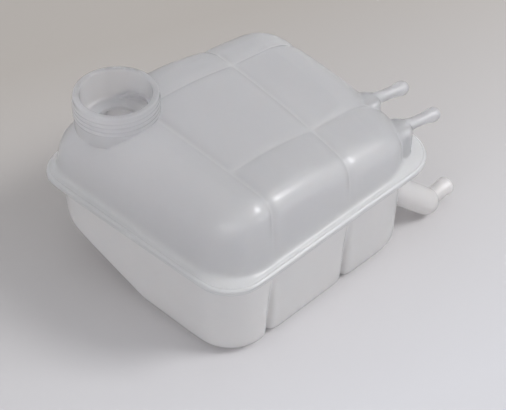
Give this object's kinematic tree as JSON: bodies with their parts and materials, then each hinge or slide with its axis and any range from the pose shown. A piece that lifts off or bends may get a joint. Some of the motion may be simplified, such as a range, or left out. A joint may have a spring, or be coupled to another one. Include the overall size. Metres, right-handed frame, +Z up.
{
  "type": "coolant expansion tank",
  "caption": "Square moulded coolant expansion tank in two welded halves, with grooved chambers, an open threaded filler neck, small bleed spigots and a bent lower outlet.",
  "frame": {"origin": "centre of the bounding box at the level of the flat floor that the tank stands on", "axes": "+Z up along the filler neck, +X towards the side with the hose spigots, the long side without spigots faces -Y"},
  "size_m": [0.25, 0.2018, 0.1435],
  "materials": {
    "upper_moulding": "translucent natural polypropylene, satin as moulded",
    "lower_moulding": "translucent natural polypropylene, satin as moulded"
  },
  "bodies": {
    "root": {"upper_shell": "upper_moulding", "lower_shell": "lower_moulding"}
  },
  "joints": []
}
